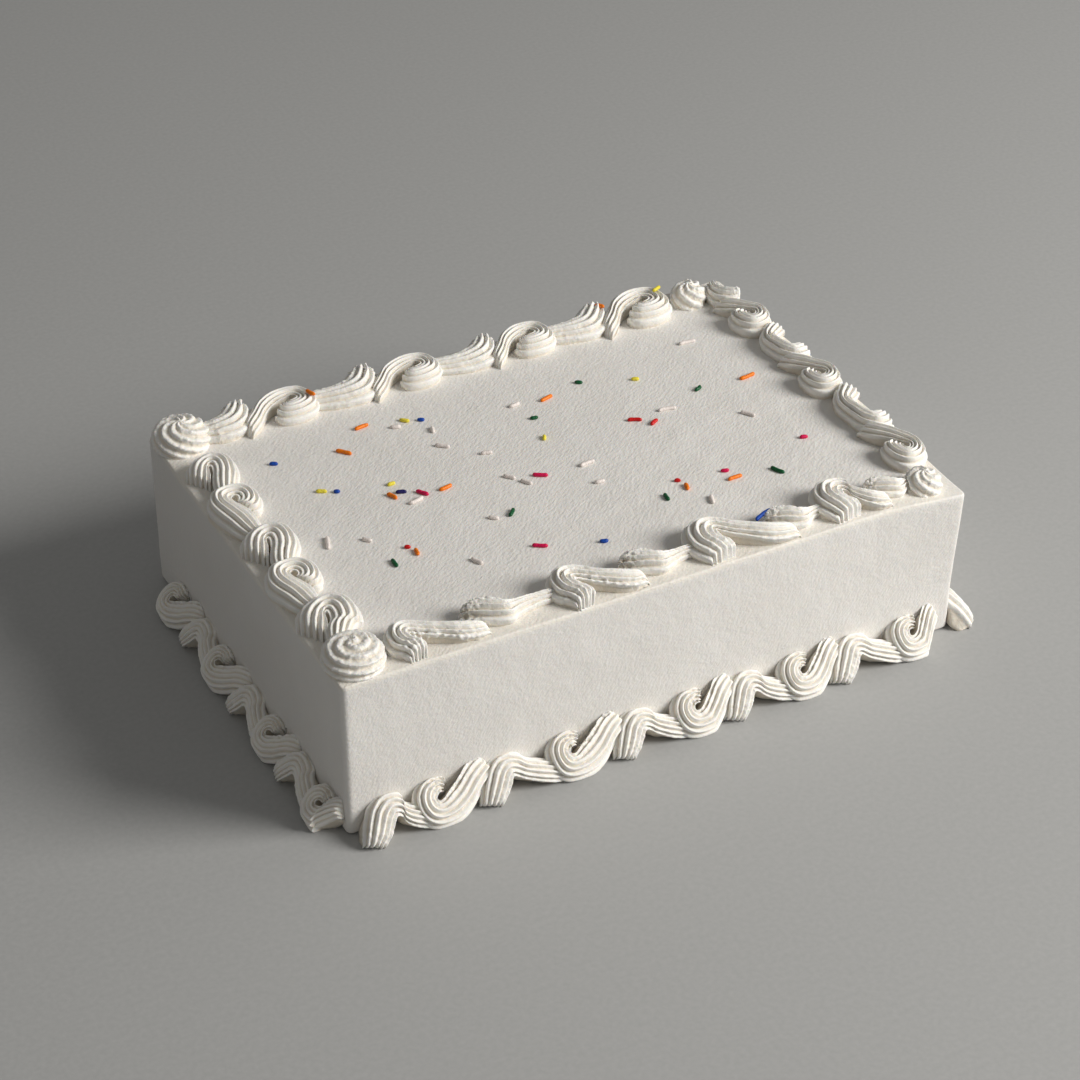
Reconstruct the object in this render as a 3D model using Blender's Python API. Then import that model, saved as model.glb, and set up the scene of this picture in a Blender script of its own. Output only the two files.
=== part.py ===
"""Iced sheet cake with a piped scroll border and scattered sugar sprinkles.

Metres, +Z up. The origin is the middle of the cake's footprint, on the surface it stands on.
+X runs along the long side, and the front is at -Y.
"""
import math

import bmesh
import bpy
import numpy as np
from mathutils import Vector

MM = 0.001

# The iced block
CAKE_LENGTH = 305 * MM
CAKE_WIDTH = 210 * MM
CAKE_HEIGHT = 79 * MM
TOP_EDGE_ROUND = 1.6 * MM
CORNER_ROUND = 3.0 * MM
CORNER_STEPS = 3
SIDE_STEPS = 4
# The right end is iced a little fuller, and its front corner swells forward at the top
RIGHT_FULLNESS = 1.0 * MM
CORNER_SWELL = 3.0 * MM
SWELL_REACH = 45 * MM
SWELL_START = 28 * MM

# Piping
CLEARANCE = 0.3 * MM
COVE_DEPTH = 6.0 * MM
COVE_RISE = 1.5 * MM
TAIL_TUCK = 4.0 * MM
# Ridges over the rope: the finer ones are on the kinds of scroll that make a full turn
FINE_CRESTS = 4
COARSE_CRESTS = 3
VALLEY_DEPTH = 0.15
# Below 1 the rope's section is fuller than a half round
SECTION_FULLNESS = 0.68

# Each run, in the order of piping: how far the pits of its curls lie inside the cake's edge,
# whether the first curl turns outwards, how far the last tail goes past its pit, the size of its
# scrolls along, across and up, and the place, kind and share of that size of each scroll.
# Curls turn outwards and inwards in turn.
TOP_RUNS = {
    "left": (11.5, True, 18, (1.0, 1.05, 1.0), [
        (59, "hook", 0.92), (30, "swirl", 0.98), (-5, "hook", 1.0), (-33, "swirl", 1.0), (-65, "hook", 1.08),
    ]),
    "front": (12.0, True, 20, (1.0, 1.0, 1.0), [
        (-117, "bend", 0.92), (-81, "shell", 1.0), (-40, "bend", 1.0), (-6, "shell", 0.98),
        (28, "fan", 1.0), (66, "shell", 0.88), (93, "fan", 0.96), (117, "shell", 0.82),
    ]),
    "right": (9.0, False, 18, (1.0, 0.9, 1.0), [
        (-73, "swirl", 1.0), (-44, "wave", 1.0), (-4, "swirl", 1.0), (24, "wave", 0.95), (58, "swirl", 1.0),
        (82, "crown", 0.85),
    ]),
    "back": (12.0, False, 22, (1.05, 1.0, 1.0), [
        (102, "swirl", 1.1), (72, "crown", 1.0), (39, "swirl", 1.0), (12, "crown", 0.9),
        (-22, "swirl", 1.0), (-52, "crown", 1.0), (-86, "swirl", 1.0), (-116, "crown", 0.95),
    ]),
}
# The same for the foot, where the curls that turn outwards are hooks and the others are swirls
BOTTOM_RUNS = {
    "left": (False, 12, (0.9, 0.9, 0.85), [72, 43, 18, -12, -38, -64, -90]),
    "front": (True, 18, (0.95, 1.02, 0.92), [-137, -114, -82, -50, -17, 12, 39, 67, 95, 126]),
    "right": (True, 8, (0.9, 0.9, 0.85), [-98, -70, -43, -14, 16, 44, 73, 98]),
    "back": (True, 18, (0.95, 1.02, 0.92), [138, 112, 82, 53, 24, -8, -37, -66, -96, -125]),
}
# The rosette that ends each run of the top: place (x, y), radius and height
ROSETTES = {
    "left": (-140.5, -91.5, 13.5, 12.0),
    "front": (138.0, -95.5, 8.5, 10.0),
    "right": (128.5, 92.5, 9.0, 11.5),
    "back": (-141.0, 92.0, 13.5, 13.0),
}
# Share of the radius and of the height, from the foot up to just below the peak
ROSETTE_PROFILE = [(0.94, 0.0), (1.0, 0.25), (0.88, 0.65), (0.55, 0.92)]
ROSETTE_LOBES = 8
LOBE_DEPTH = 0.14
ROSETTE_TWIST = math.radians(26)
# Edges sharper than this are shown as creases
CREASE_ANGLE = math.radians(35)

# Sugar sprinkles: place (x, y), heading in degrees and length, all in mm
SPRINKLE_RADIUS = 0.95 * MM
SPRINKLE_SINK = 0.25 * MM
SPRINKLES_ON_CAKE = [
    (-63, 65, 8, 7.5), (-79, 50, -50, 8), (-75, 8, -69, 6), (-51, 3, 12, 7), (24, 47, 16, 7.5),
    (-84, -35, -100, 5), (117, 19, 8, 9), (67, -51, 1, 7.5), (44, -47, -105, 5),
    (-49, 58, -19, 5), (-35, 48, -108, 5), (-37, 34, -42, 7), (-22, 19, -17, 5.5), (-67, 0, 15, 8),
    (8, 49, 9, 6), (-22, -3, -49, 6), (-17, -10, -58, 6), (-43, -28, -42, 5), (-115, -11, -110, 9),
    (-99, -17, -51, 5), (-64, -53, -65, 6.5), (108, 59, -5, 9), (69, 12, -10, 9), (100, -9, -57, 7.5),
    (14, -10, 7, 8), (12, -25, -9, 5), (49, -61, -114, 6.5),
    (-43, 61, -43, 5), (-101, 26, -32, 5), (-71, 17, 1, 4), (7, 18, -118, 4), (69, 42, -28, 4),
    (-36, 58, -28, 3.5), (-111, 56, -28, 4), (-95, 23, -28, 3), (-9, -66, -21, 4), (-70, 9, -21, 5),
    (-62, 4, -56, 6.5), (-9, -8, -32, 7), (-35, -56, -32, 7), (112, -38, -16, 4), (66, -44, -21, 4),
    (11, 35, -14, 4), (-34, -28, 46, 6), (-96, -38, -92, 6), (44, 52, -36, 4), (91, 21, 27, 5),
    (87, -55, -66, 7.5), (32, -50, -98, 5.5),
    (-86, -30, -28, 3), (51, 11, -28, 7), (58, 5, 28, 5.5), (43, -41, -28, 3),
]
SPRINKLES_ON_BACK_RUN = [(-77.5, 88.5, -70, 6), (79, 94, -53, 5), (110.5, 93.5, 24, 6)]
SPRINKLES_ON_FRONT_RUN = [(62.5, -87, 21, 11)]

# A side's direction of piping, its outward direction, and the half width up to its edge
SIDES = {
    "left": (Vector((0, -1, 0)), Vector((-1, 0, 0)), CAKE_LENGTH / 2),
    "front": (Vector((1, 0, 0)), Vector((0, -1, 0)), CAKE_WIDTH / 2),
    "right": (Vector((0, 1, 0)), Vector((1, 0, 0)), CAKE_LENGTH / 2 + RIGHT_FULLNESS),
    "back": (Vector((-1, 0, 0)), Vector((0, 1, 0)), CAKE_WIDTH / 2),
}

# The kinds of scroll, in mm about the pit of the curl: along the run, and across it towards the
# curl's side. Each row is a cross-section of the rope: its inner edge, its outer edge, and the
# height of its middle and of its inner edge. The first rows are the curl. The last three are the
# tail, where the place along the run is a share of the way to the next curl.
CURL_ROWS = 6
KINDS = {
    # A full turn that starts as a wide fan
    "hook": [
        ((7.0, 9.0), (-3.5, 12.0), 4.5, 1.0),
        ((5.5, 5.0), (-8.5, 7.5), 8.5, 3.5),
        ((1.0, 1.0), (-10.0, 0.5), 10.0, 6.0),
        ((0.8, 0.0), (-7.5, -8.5), 10.8, 6.5),
        ((1.3, -0.8), (-0.5, -12.8), 11.0, 6.0),
        ((4.0, -1.0), (7.0, -12.0), 10.0, 2.0),
        ((0.52, 0.8), (0.52, -10.0), 8.6, 0.0),
        ((0.78, 4.2), (0.78, -6.0), 7.0, 0.0),
        ((1.00, 6.2), (1.00, -1.5), 4.5, 0.0),
    ],
    # A round curl, wound up further
    "swirl": [
        ((2.6, 2.0), (9.0, 4.0), 5.0, 4.5),
        ((2.0, 2.2), (5.5, 11.5), 9.0, 6.0),
        ((0.2, 1.6), (-5.0, 11.5), 10.2, 6.5),
        ((-0.4, 0.4), (-10.0, 1.5), 10.8, 6.5),
        ((0.2, -0.6), (-7.0, -8.5), 11.0, 6.0),
        ((1.8, -1.2), (0.5, -12.4), 10.8, 4.5),
        ((0.52, 0.8), (0.52, -10.0), 8.6, 0.0),
        ((0.78, 4.2), (0.78, -6.0), 7.0, 0.0),
        ((1.00, 6.2), (1.00, -1.5), 4.5, 0.0),
    ],
    # A narrow bend with a thick tail
    "bend": [
        ((5.0, 10.8), (-3.0, 11.8), 6.5, 4.5),
        ((6.5, 7.5), (-6.5, 7.5), 9.0, 6.0),
        ((4.0, 3.5), (-10.5, 1.0), 10.0, 7.0),
        ((2.0, 1.5), (-9.0, -7.5), 10.9, 7.5),
        ((2.0, 0.5), (-1.0, -12.7), 11.0, 7.5),
        ((4.5, 1.0), (8.0, -10.5), 10.2, 6.5),
        ((0.42, 5.5), (0.46, -6.0), 9.3, 4.5),
        ((0.76, 11.5), (0.76, -2.0), 8.3, 2.0),
        ((1.12, 9.5), (1.12, 2.0), 5.5, 0.5),
    ],
    # The same with a broad start and a longer tail
    "fan": [
        ((7.0, 9.5), (-4.5, 11.0), 6.5, 4.5),
        ((7.0, 6.0), (-9.0, 6.5), 9.3, 6.5),
        ((5.5, 2.5), (-12.0, -1.5), 10.5, 7.5),
        ((4.5, 0.0), (-9.5, -10.0), 11.2, 8.0),
        ((4.8, -1.5), (-1.5, -15.0), 11.4, 8.0),
        ((6.5, -0.5), (9.0, -13.0), 10.6, 7.0),
        ((0.48, 5.0), (0.52, -7.5), 9.5, 5.0),
        ((0.82, 12.0), (0.82, -2.0), 8.3, 2.0),
        ((1.22, 10.5), (1.22, 2.5), 5.5, 0.5),
    ],
    # A long shell
    "shell": [
        ((-7.0, 8.5), (-11.0, 5.0), 5.5, 4.0),
        ((-3.0, 9.5), (-8.0, 0.5), 8.8, 6.0),
        ((2.0, 8.8), (-2.0, -3.8), 10.0, 7.0),
        ((6.0, 6.8), (4.0, -7.3), 10.3, 6.5),
        ((9.0, 4.5), (9.0, -7.9), 9.8, 4.5),
        ((12.0, 3.2), (13.0, -5.6), 8.8, 3.0),
        ((0.64, 3.0), (0.66, -2.8), 7.5, 1.5),
        ((0.80, 3.0), (0.80, -2.0), 7.0, 0.5),
        ((1.00, 3.5), (1.00, -1.0), 5.0, 0.0),
    ],
    # A tall start, from which the ridges fall away
    "crown": [
        ((-3.0, 8.0), (-9.0, 3.5), 12.3, 6.0),
        ((0.0, 7.0), (-10.0, -0.5), 12.8, 6.5),
        ((2.5, 5.5), (-8.8, -5.5), 12.4, 6.5),
        ((4.5, 4.0), (-5.0, -9.8), 11.6, 6.0),
        ((6.5, 3.5), (0.5, -11.8), 10.6, 5.5),
        ((9.0, 3.5), (7.0, -11.5), 9.7, 4.5),
        ((0.54, 4.0), (0.56, -9.5), 8.6, 3.0),
        ((0.78, 5.5), (0.78, -6.0), 7.2, 1.0),
        ((1.00, 6.5), (1.00, -1.5), 4.5, 0.0),
    ],
    # A flat curl whose tail turns sharply to its side
    "wave": [
        ((3.0, 7.0), (-8.0, 9.0), 8.0, 5.0),
        ((2.5, 4.5), (-11.5, 5.0), 9.5, 6.0),
        ((2.0, 2.5), (-12.0, -1.5), 10.0, 6.5),
        ((2.5, 1.5), (-8.0, -6.5), 10.3, 6.5),
        ((4.0, 1.0), (-2.0, -9.5), 10.2, 5.5),
        ((7.0, 1.0), (6.0, -10.5), 9.8, 4.0),
        ((0.42, 1.5), (0.52, -9.5), 9.2, 3.0),
        ((0.55, 6.0), (0.80, -2.0), 8.6, 2.5),
        ((0.72, 10.5), (1.02, 3.0), 6.5, 1.0),
    ],
}


def clear_scene():
    for obj in list(bpy.data.objects):
        bpy.data.objects.remove(obj, do_unlink=True)


def material(name, colour, roughness):
    made = bpy.data.materials.new(name)
    made.use_nodes = True
    shader = made.node_tree.nodes["Principled BSDF"]
    shader.inputs["Base Color"].default_value = (*colour, 1.0)
    shader.inputs["Roughness"].default_value = roughness
    shader.inputs["Metallic"].default_value = 0.0
    return made


def loft(name, rings):
    """A closed mesh through rings of points. A ring of one point is a tip, and other ends get a cap."""
    shape = bmesh.new()
    rows = [[shape.verts.new(point) for point in ring] for ring in rings]
    for low, high in zip(rows, rows[1:]):
        for i in range(max(len(low), len(high))):
            a, b = low[i % len(low)], low[(i + 1) % len(low)]
            c, d = high[(i + 1) % len(high)], high[i % len(high)]
            shape.faces.new(list(dict.fromkeys((a, b, c, d))))
    for row in (rows[0], rows[-1]):
        if len(row) > 2:
            shape.faces.new(row)
    bmesh.ops.triangulate(shape, faces=shape.faces)
    bmesh.ops.recalc_face_normals(shape, faces=shape.faces)
    mesh = bpy.data.meshes.new(name)
    shape.to_mesh(mesh)
    shape.free()
    obj = bpy.data.objects.new(name, mesh)
    bpy.context.collection.objects.link(obj)
    return obj


def union(name, pieces):
    """Join pieces that overlap into one body, and remove the pieces."""
    first, others = pieces[0], pieces[1:]
    group = bpy.data.collections.new(name + "_pieces")
    for piece in others:
        group.objects.link(piece)
    join = first.modifiers.new("join", "BOOLEAN")
    join.operation = "UNION"
    join.operand_type = "COLLECTION"
    join.collection = group
    join.solver = "EXACT"
    graph = bpy.context.evaluated_depsgraph_get()
    mesh = bpy.data.meshes.new_from_object(first.evaluated_get(graph))
    mesh.name = name
    joined = bpy.data.objects.new(name, mesh)
    bpy.context.collection.objects.link(joined)
    bpy.data.collections.remove(group)
    for piece in pieces:
        bpy.data.objects.remove(piece, do_unlink=True)
    return joined


def finish(obj, name, look):
    obj.name = name
    obj.data.materials.clear()
    obj.data.materials.append(look)
    obj.data.shade_smooth()
    obj.data.set_sharp_from_angle(angle=CREASE_ANGLE)


def scroll_stations(kind, turns_out, reach, size):
    """Cross-sections of one scroll: inner edge, outer edge, middle height, inner height, in metres.

    reach is how far the tail runs past the pit of the curl.
    """
    across = size.y * MM if turns_out else -size.y * MM
    tall = size.z * MM
    stations = []
    for number, (inner, outer, high, low) in enumerate(KINDS[kind]):
        along = size.x * MM if number < CURL_ROWS else reach
        plan = Vector((along, across))
        stations.append((Vector(inner) * plan, Vector(outer) * plan, high * tall, low * tall))
    return stations


def ridged_section(inner, outer, high, low, crests):
    """Points (along, across, up) over one cross-section, from its inner edge to its outer edge."""
    points = []
    for i in range(2 * crests - 1):
        angle = math.pi * (i + 1) / (2 * crests)
        size = 1.0 - VALLEY_DEPTH * (i % 2)
        share = 0.5 - 0.5 * math.cos(angle) * size
        place = inner.lerp(outer, share)
        bulge = math.sin(angle) ** SECTION_FULLNESS * size
        floor = low * (1.0 - share) ** 2
        points.append((place.x, place.y, floor + (high - floor) * bulge))
    return points


def top_scroll(side, place, inset, **shape):
    """One scroll that lies on the cake's top."""
    along, outward, half = SIDES[side]
    pit = along * place + outward * (half - inset)
    crests = FINE_CRESTS if shape["kind"] in ("hook", "swirl") else COARSE_CRESTS
    rings = []
    for inner, outer, high, low in scroll_stations(**shape):
        ring = ridged_section(inner, outer, high, low, crests)
        ring = [(inner.x, inner.y, 0.0)] + ring + [(outer.x, outer.y, 0.0)]
        rings.append(
            [
                pit + along * u + outward * v + Vector((0, 0, CAKE_HEIGHT + CLEARANCE + w))
                for u, v, w in ring
            ]
        )
    return loft("scroll", rings)


def bottom_scroll(side, place, **shape):
    """One scroll in the cove between the cake's side and the surface it stands on.

    The scroll lies on a plane at 45 degrees, and is pressed flat where it meets the side and the floor.
    """
    along, outward, half = SIDES[side]
    rings = []
    for inner, outer, high, low in scroll_stations(**shape):
        ring = ridged_section(inner, outer, high, low, COARSE_CRESTS)
        ring = [(inner.x, inner.y, -COVE_DEPTH)] + ring + [(outer.x, outer.y, -COVE_DEPTH)]
        points = []
        for u, v, w in ring:
            out = max((COVE_DEPTH + w + v - COVE_RISE) / math.sqrt(2), CLEARANCE)
            up = max((COVE_DEPTH + w - v + COVE_RISE) / math.sqrt(2), 0.0)
            points.append(along * (place + u) + outward * (half + out) + Vector((0, 0, up)))
        rings.append(points)
    return loft("scroll", rings)


def run_of_scrolls(make, side, first_turns_out, last_reach, size, scrolls, **where):
    """Scrolls along one side. Each tail runs under the curl that follows it."""
    along = SIDES[side][0]
    sign = along.x + along.y
    places = [place * MM * sign for place, _, _ in scrolls]
    reaches = [b - a - TAIL_TUCK for a, b in zip(places, places[1:])] + [last_reach * MM]
    pieces = []
    for i, (place, reach, (_, kind, grown)) in enumerate(zip(places, reaches, scrolls)):
        shape = {"kind": kind, "turns_out": (i % 2 == 0) == first_turns_out, "reach": reach}
        pieces.append(make(side=side, place=place, size=Vector(size) * grown, **shape, **where))
    return pieces


def rosette(x, y, radius, height):
    """A round mound of icing with ridges that wind up to its peak."""
    centre = Vector((x * MM, y * MM, CAKE_HEIGHT + CLEARANCE))
    around = 2 * ROSETTE_LOBES
    rings = []
    for step, (wide, high) in enumerate(ROSETTE_PROFILE):
        ring = []
        for i in range(around):
            angle = 2 * math.pi * i / around + step * ROSETTE_TWIST
            reach = radius * wide * (1.0 - LOBE_DEPTH * (i % 2))
            place = Vector((reach * math.cos(angle), reach * math.sin(angle), height * high))
            ring.append(centre + place * MM)
        rings.append(ring)
    rings.append([centre + Vector((0, 0, height * MM))])
    return loft("rosette", rings)


def sprinkle(x, y, heading, length, height):
    """A six-sided rod with pointed ends, lying level."""
    ahead = Vector((math.cos(math.radians(heading)), math.sin(math.radians(heading)), 0))
    aside = Vector((-ahead.y, ahead.x, 0))
    middle = Vector((x * MM, y * MM, height))
    half = length * MM / 2
    turns = np.radians(range(30, 390, 60))
    spokes = [aside * math.cos(turn) + Vector((0, 0, math.sin(turn))) for turn in turns]
    rings = [[middle - ahead * half]]
    for reach in (SPRINKLE_RADIUS - half, half - SPRINKLE_RADIUS):
        rings.append([middle + ahead * reach + spoke * SPRINKLE_RADIUS for spoke in spokes])
    rings.append([middle + ahead * half])
    return loft("sprinkle", rings)


def sprinkles_on(obj, places, name):
    """Sprinkles sunk a little into the surface of obj and joined to it."""
    rods = []
    for x, y, heading, length in places:
        above = Vector((x * MM, y * MM, 2 * CAKE_HEIGHT))
        under = obj.ray_cast(above, Vector((0, 0, -1)))[1]
        rods.append(sprinkle(x, y, heading, length, under.z + SPRINKLE_RADIUS - SPRINKLE_SINK))
    return union(name, [obj] + rods)


def fuller(point):
    """Move a point of the block outwards where the icing is fuller at the right end."""
    to_right = max(point.x / (CAKE_LENGTH / 2), 0.0)
    near_end = max(1.0 - (CAKE_LENGTH / 2 - point.x) / SWELL_REACH, 0.0)
    near_front = max(1.0 - (CAKE_WIDTH / 2 + point.y) / SWELL_REACH, 0.0)
    upper = max(point.z - SWELL_START, 0.0) / (CAKE_HEIGHT - SWELL_START)
    swell = CORNER_SWELL * near_end * near_front * upper
    return point + Vector((RIGHT_FULLNESS * to_right, -swell, 0))


def cake_outline(shrink, height):
    """The cake's plan at a height: a rectangle with rounded corners, drawn in by shrink."""
    arcs = []
    half_length = CAKE_LENGTH / 2 - CORNER_ROUND
    half_width = CAKE_WIDTH / 2 - CORNER_ROUND
    radius = CORNER_ROUND - shrink
    for right, back, start in ((1, -1, -90), (1, 1, 0), (-1, 1, 90), (-1, -1, 180)):
        centre = Vector((right * half_length, back * half_width, height))
        angles = np.radians(np.linspace(start, start + 90, CORNER_STEPS + 1))
        arcs.append([centre + Vector((math.cos(a), math.sin(a), 0)) * radius for a in angles])
    points = []
    for arc, following in zip(arcs, arcs[1:] + arcs[:1]):
        points += arc
        points += [arc[-1].lerp(following[0], step / SIDE_STEPS) for step in range(1, SIDE_STEPS)]
    return [fuller(point) for point in points]


def iced_block():
    levels = [
        (0.0, 0.0),
        (0.0, SWELL_START),
        (0.0, CAKE_HEIGHT - TOP_EDGE_ROUND),
        (0.3 * TOP_EDGE_ROUND, CAKE_HEIGHT - 0.3 * TOP_EDGE_ROUND),
        (TOP_EDGE_ROUND, CAKE_HEIGHT),
    ]
    return loft("block", [cake_outline(shrink, height) for shrink, height in levels])


def top_run(side):
    inset, first_turns_out, last_reach, size, scrolls = TOP_RUNS[side]
    pieces = run_of_scrolls(top_scroll, side, first_turns_out, last_reach, size, scrolls, inset=inset * MM)
    pieces.append(rosette(*ROSETTES[side]))
    return union("top_run_" + side, pieces)


def bottom_run(side):
    first_turns_out, last_reach, size, curls = BOTTOM_RUNS[side]
    kinds = ("hook", "swirl") if first_turns_out else ("swirl", "hook")
    scrolls = [(curl, kinds[i % 2], 1.0) for i, curl in enumerate(curls)]
    pieces = run_of_scrolls(bottom_scroll, side, first_turns_out, last_reach, size, scrolls)
    return union("bottom_run_" + side, pieces)


def build():
    clear_scene()
    coat = material("icing_coat", (0.78, 0.76, 0.72), 0.62)
    piping = material("piped_icing", (0.84, 0.82, 0.77), 0.5)

    finish(sprinkles_on(iced_block(), SPRINKLES_ON_CAKE, "iced_cake"), "iced_cake", coat)

    toppings = {"front": SPRINKLES_ON_FRONT_RUN, "back": SPRINKLES_ON_BACK_RUN}
    for side in SIDES:
        name = "top_run_" + side
        run = top_run(side)
        if side in toppings:
            run = sprinkles_on(run, toppings[side], name)
        finish(run, name, piping)
        finish(bottom_run(side), "bottom_run_" + side, piping)


build()
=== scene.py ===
# %% [markdown]
# # An iced sheet cake
# This lesson dresses a measured model of a sheet cake for a photograph. The measured model
# comes in first, and every piece made here lies on it, in metres, with +X along the cake's
# long side and the front towards -Y.

# %% Load the measured model
import math
import random
import bpy
from mathutils import Matrix, Vector


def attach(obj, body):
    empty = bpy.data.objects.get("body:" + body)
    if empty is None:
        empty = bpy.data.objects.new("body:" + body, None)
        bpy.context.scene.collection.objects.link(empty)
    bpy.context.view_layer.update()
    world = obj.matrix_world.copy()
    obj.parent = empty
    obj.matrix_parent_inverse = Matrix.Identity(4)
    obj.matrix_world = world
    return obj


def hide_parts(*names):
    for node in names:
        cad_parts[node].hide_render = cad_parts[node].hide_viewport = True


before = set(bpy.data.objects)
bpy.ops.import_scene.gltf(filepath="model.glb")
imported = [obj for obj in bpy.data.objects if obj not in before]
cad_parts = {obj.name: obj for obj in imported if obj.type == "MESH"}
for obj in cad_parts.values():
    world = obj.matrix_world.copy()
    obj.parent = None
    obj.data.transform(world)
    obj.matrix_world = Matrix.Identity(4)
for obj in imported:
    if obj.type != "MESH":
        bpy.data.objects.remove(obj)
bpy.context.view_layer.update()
MM = 0.001
print("measured parts:", ", ".join(sorted(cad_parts)))

# %% [markdown]
# ## Maths on sockets
# Both the piping and the icing's finish are sums worked out by nodes. A sum is far easier to
# read as Python than as a list of nodes and links, so a small class wraps a socket and adds
# the right node for each operator. The bench adds every other kind of node in one way.

# %% A bench that adds nodes, and wires that can be added up
class Wire:
    """One socket of a node tree, ready for use in a Python expression."""

    def __init__(self, bench, socket):
        self.bench = bench
        self.socket = socket

    def sum(self, operation, *values, output=0):
        is_vector = any(isinstance(v, Wire) and v.socket.type == "VECTOR" for v in values)
        kind = "ShaderNodeVectorMath" if is_vector else "ShaderNodeMath"
        return self.bench.add(kind, {"operation": operation}, dict(enumerate(values)), output)

    def __add__(self, other):
        return self.sum("ADD", self, other)

    def __radd__(self, other):
        return self.sum("ADD", other, self)

    def __sub__(self, other):
        return self.sum("SUBTRACT", self, other)

    def __rsub__(self, other):
        return self.sum("SUBTRACT", other, self)

    def __mul__(self, other):
        return self.sum("MULTIPLY", self, other)

    def __rmul__(self, other):
        return self.sum("MULTIPLY", other, self)

    def __truediv__(self, other):
        return self.sum("DIVIDE", self, other)

    def __rtruediv__(self, other):
        return self.sum("DIVIDE", other, self)

    def __pow__(self, power):
        return self.sum("POWER", self, power)

    def least(self, other):
        return self.sum("MINIMUM", self, other)

    def most(self, other):
        return self.sum("MAXIMUM", self, other)

    def size(self):
        return self.sum("ABSOLUTE", self)

    def sign(self):
        return self.sum("SIGN", self)

    def cosine(self):
        return self.sum("COSINE", self)

    def sine(self):
        return self.sum("SINE", self)

    def root(self):
        return self.sum("SQRT", self)

    def length(self):
        return self.sum("LENGTH", self, output=1)

    def ramp(self, start, end):
        """0 before start, 1 after end, and a soft slope between them."""
        settings = {"interpolation_type": "SMOOTHSTEP"}
        return self.bench.add("ShaderNodeMapRange", settings, {0: self, 1: start, 2: end})

    def parts(self):
        """The x, y and z of a vector."""
        split = self.bench.add("ShaderNodeSeparateXYZ", {}, {0: self})
        return [Wire(self.bench, socket) for socket in split.socket.node.outputs]


class Bench:
    """Adds nodes to one tree."""

    def __init__(self, tree):
        self.tree = tree
        tree.nodes.clear()

    def put(self, value, socket):
        if isinstance(value, Wire):
            self.tree.links.new(value.socket, socket)
        elif socket.type == "VECTOR" and isinstance(value, (int, float)):
            socket.default_value = (value, value, value)
        else:
            socket.default_value = value

    def add(self, kind, settings, inputs, output=0):
        """Any node: its type, its settings, and the values or wires of its sockets."""
        node = self.tree.nodes.new(kind)
        for name, value in settings.items():
            if name == "points":
                self.set_points(node.mapping, value)
            else:
                setattr(node, name, value)
        for key, value in inputs.items():
            self.put(value, node.inputs[key])
        return Wire(self, node.outputs[output]) if node.outputs else node

    def set_points(self, mapping, points):
        """Draw a curve through points. Its values may be below 0 or above 1."""
        mapping.use_clip = False
        curve = mapping.curves[0]
        while len(curve.points) < len(points):
            curve.points.new(1.0, 0.0)
        for point, (place, value) in zip(curve.points, points):
            point.location = (place, value)
            point.handle_type = "AUTO"
        mapping.update()

    def vector(self, x, y, z):
        return self.add("ShaderNodeCombineXYZ", {}, {0: x, 1: y, 2: z})

    def mix(self, factor, first, second):
        """A colour between two colours."""
        return self.add("ShaderNodeMix", {"data_type": "RGBA"}, {0: factor, 6: first, 7: second}, 2)


print("the bench is ready")

# %% [markdown]
# ## Running a tree
# A Geometry Nodes tree here is a recipe: it takes a few points that say where things go, and
# sizes as named inputs, and gives back the finished mesh. The result is kept as a plain mesh,
# so nothing is left to be worked out later.

# %% Make a recipe, and run it
def start_recipe(name, sizes):
    """A tree with a geometry input, one number input for each size, a seed and a material."""
    tree = bpy.data.node_groups.new(name, "GeometryNodeTree")
    bench = Bench(tree)
    face = tree.interface
    face.new_socket("Geometry", in_out="INPUT", socket_type="NodeSocketGeometry")
    for size, value in sizes.items():
        face.new_socket(size, in_out="INPUT", socket_type="NodeSocketFloat").default_value = value
    face.new_socket("Seed", in_out="INPUT", socket_type="NodeSocketInt").default_value = 1
    face.new_socket("Material", in_out="INPUT", socket_type="NodeSocketMaterial")
    face.new_socket("Geometry", in_out="OUTPUT", socket_type="NodeSocketGeometry")
    sockets = tree.nodes.new("NodeGroupInput").outputs
    return bench, {socket.name: Wire(bench, socket) for socket in sockets if socket.name}


def end_recipe(bench, given, shape):
    shape = bench.add("GeometryNodeRealizeInstances", {}, {0: shape})
    shape = bench.add("GeometryNodeSetShadeSmooth", {}, {"Geometry": shape})
    finish = {"Geometry": shape, "Material": given["Material"]}
    shape = bench.add("GeometryNodeSetMaterial", {}, finish)
    bench.add("NodeGroupOutput", {}, {0: shape})
    return bench.tree


def run_recipe(name, tree, base, **inputs):
    """The mesh that a tree makes from a base mesh, as a plain object."""
    source = bpy.data.objects.new(name + "_base", base)
    bpy.context.collection.objects.link(source)
    modifier = source.modifiers.new("recipe", "NODES")
    modifier.node_group = tree
    for item in tree.interface.items_tree:
        if item.item_type == "SOCKET" and item.in_out == "INPUT" and item.name in inputs:
            modifier[item.identifier] = inputs[item.name]
    graph = bpy.context.evaluated_depsgraph_get()
    mesh = bpy.data.meshes.new_from_object(source.evaluated_get(graph))
    bpy.data.objects.remove(source, do_unlink=True)
    mesh.name = name
    made = bpy.data.objects.new(name, mesh)
    bpy.context.collection.objects.link(made)
    triangles = sum(len(face.vertices) - 2 for face in mesh.polygons)
    print(name, "has", triangles, "triangles")
    return made


def points_mesh(name, count, facts):
    """Loose points, each with its own facts, such as its place, for a recipe to read."""
    mesh = bpy.data.meshes.new(name)
    mesh.from_pydata([(0, 0, 0)] * count, [], [])
    for fact, values in facts.items():
        is_vector = isinstance(values[0], Vector)
        layer = mesh.attributes.new(fact, "FLOAT_VECTOR" if is_vector else "FLOAT", "POINT")
        for item, value in zip(layer.data, values):
            if is_vector:
                item.vector = value
            else:
                item.value = value
    return mesh


def fact(bench, name, kind="FLOAT"):
    return bench.add("GeometryNodeInputNamedAttribute", {"data_type": kind}, {"Name": name})


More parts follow.
